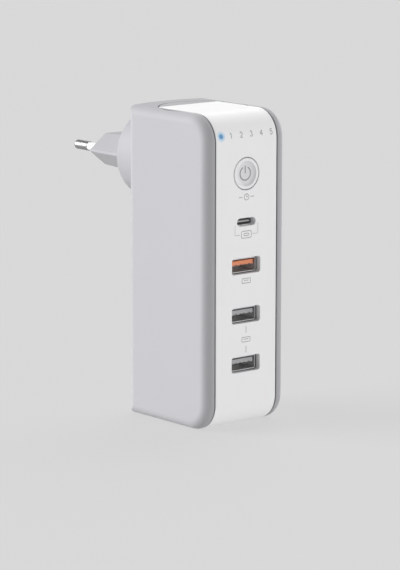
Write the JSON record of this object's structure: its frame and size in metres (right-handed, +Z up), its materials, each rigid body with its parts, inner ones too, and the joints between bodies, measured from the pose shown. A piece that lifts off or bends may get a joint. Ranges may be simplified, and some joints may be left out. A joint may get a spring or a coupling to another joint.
{
  "type": "smart charger",
  "caption": "Tall desktop USB charger with a wrap-round front cover, timer button, indicator row, four sockets and a two-pin mains plug on its back.",
  "frame": {"origin": "middle of the housing's flat foot", "axes": "+Z up, the front with the sockets faces -Y, the mains pins point along +Y, +X is to the right seen from the front"},
  "size_m": [0.0426, 0.1012, 0.13],
  "materials": {
    "grey_shell": "fine satin moulding, light cool grey",
    "white_cover": "smooth semi-gloss white moulding",
    "button_cap": "smooth semi-gloss white moulding",
    "lens": "lit blue indicator lens",
    "clear_guide": "clear moulding",
    "plated_shell": "nickel-plated sheet steel",
    "orange_tongue": "orange socket tongue",
    "grey_tongue": "grey socket tongue",
    "contact_gold": "gold-plated contact strip",
    "pin_metal": "nickel-plated brass",
    "sleeve_white": "white insulating sleeve",
    "board": "green circuit board",
    "black_mould": "black moulded body",
    "ferrite": "dark grey ferrite",
    "winding_tape": "copper winding under yellow tape",
    "can_sleeve": "shrink-sleeved can",
    "box_capacitor": "yellow boxed film capacitor",
    "blue_disc": "blue disc capacitor",
    "choke_copper": "enamelled copper winding",
    "fuse_body": "fuse body",
    "sink_metal": "bare aluminium",
    "white_mould": "white moulded body",
    "screw_steel": "zinc-plated steel",
    "contact_brass": "brass contact"
  },
  "bodies": {
    "charger": {"rear_housing": "grey_shell", "rear_panel": "grey_shell", "front_cover": "white_cover", "indicator_lens": "lens", "light_guide": "clear_guide", "tact_switch": "black_mould", "status_leds": "white_mould", "control_board": "board", "board_header": "black_mould", "socket_board": "board", "usb_c_shell": "plated_shell", "usb_c_tongue": "grey_tongue", "usb_a_shell_1": "plated_shell", "usb_a_shell_2": "plated_shell", "usb_a_shell_3": "plated_shell", "usb_a_tongue_1": "orange_tongue", "usb_a_tongue_2": "grey_tongue", "usb_a_tongue_3": "grey_tongue", "usb_a_contacts_1": "contact_gold", "usb_a_contacts_2": "contact_gold", "usb_a_contacts_3": "contact_gold", "charge_chips": "black_mould", "mains_board": "board", "power_link": "black_mould", "transformer_core": "ferrite", "transformer_bobbin": "black_mould", "transformer_winding": "winding_tape", "bulk_capacitors": "can_sleeve", "output_capacitors": "can_sleeve", "suppression_capacitor": "box_capacitor", "safety_capacitor": "blue_disc", "line_choke": "choke_copper", "input_fuse": "fuse_body", "bridge_rectifier": "black_mould", "heat_sink": "sink_metal", "power_transistor": "black_mould", "optocoupler": "white_mould", "board_screws": "screw_steel", "plug_head": "grey_shell", "pin_left": "pin_metal", "pin_right": "pin_metal", "sleeve_left": "sleeve_white", "sleeve_right": "sleeve_white", "mains_contacts": "contact_brass"},
    "button": {"power_button": "button_cap", "switch_plunger": "black_mould"}
  },
  "joints": [
    {"name": "button_press", "type": "slide", "parent": "charger", "child": "button", "axis": [0, 1, 0], "range_m": [0, 0.0004], "stiffness_N_per_m": 4000, "springref_m": -0.0002}
  ]
}
